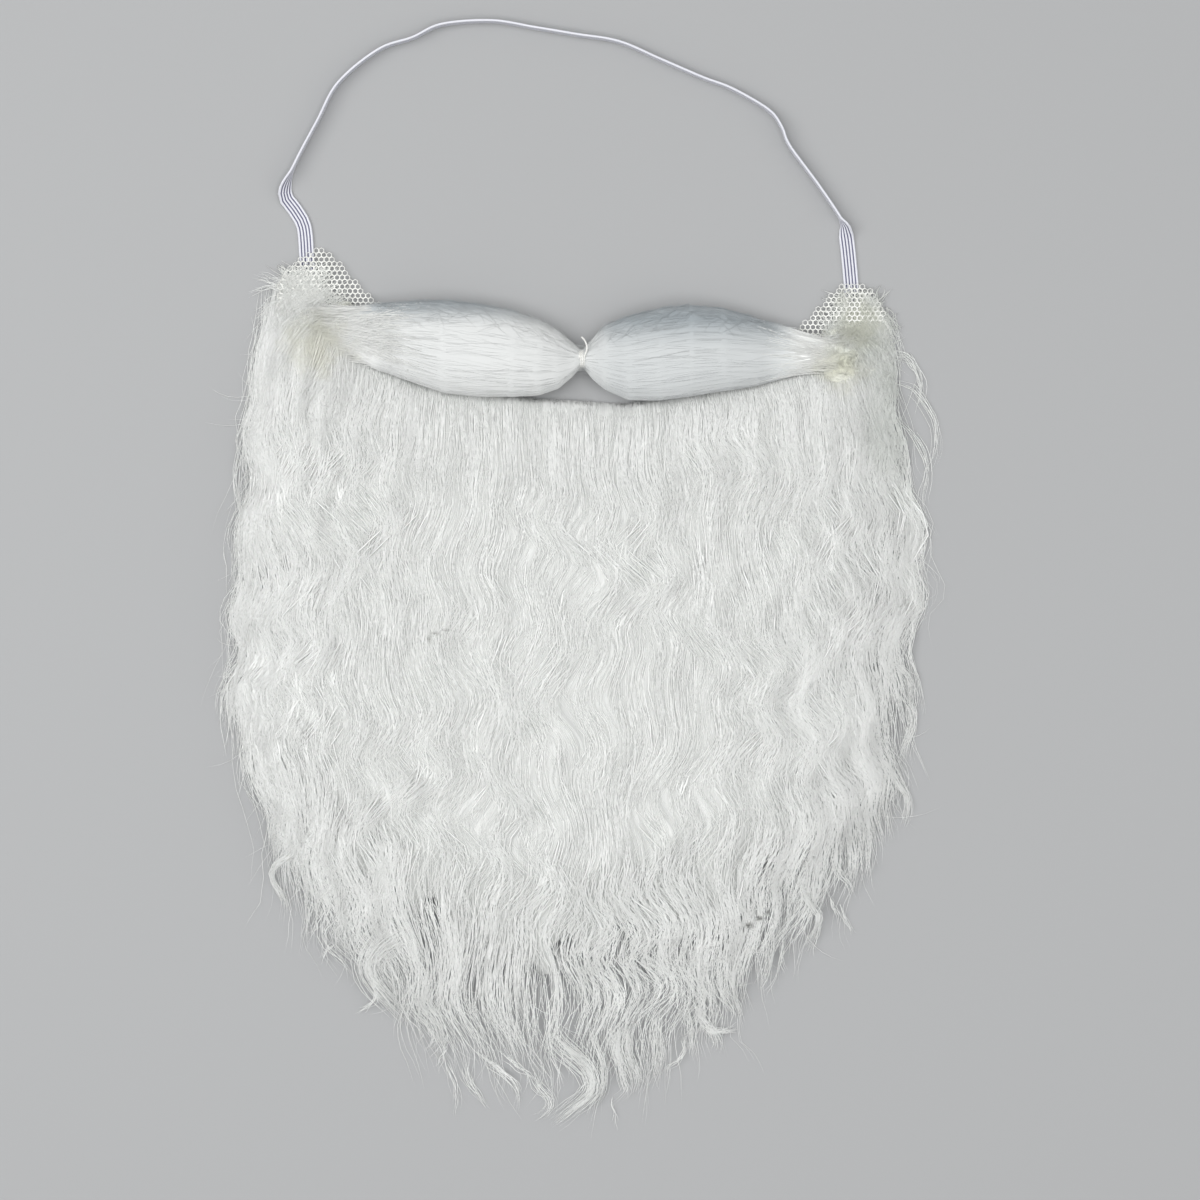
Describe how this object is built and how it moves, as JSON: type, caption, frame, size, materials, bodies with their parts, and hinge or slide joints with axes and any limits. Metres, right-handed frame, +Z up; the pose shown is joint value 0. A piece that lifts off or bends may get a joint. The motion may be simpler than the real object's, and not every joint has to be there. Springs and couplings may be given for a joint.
{
  "type": "fake beard",
  "caption": "White costume beard with a tied moustache hank, long wavy hair on a net base with open ear tabs, and a flat head elastic; it lies on its back.",
  "frame": {"origin": "centre of the bounding box's base, on the surface that the beard lies on, under the middle of the hair", "axes": "+Z up out of the surface, through the front of the beard; +Y from the chin towards the head elastic; +X to the right as one looks at the front"},
  "size_m": [0.2669, 0.4268, 0.0242],
  "materials": {
    "white_fibre": "fine white synthetic hair, soft sheen",
    "cream_net": "knitted net, matte",
    "white_thread": "twisted sewing thread, matte",
    "white_elastic": "braided ribbed elastic, slight sheen"
  },
  "bodies": {
    "root": {"net_backing": "cream_net", "beard_hair": "white_fibre", "moustache_hair": "white_fibre", "moustache_tie": "white_thread", "elastic_strap": "white_elastic"}
  },
  "joints": []
}
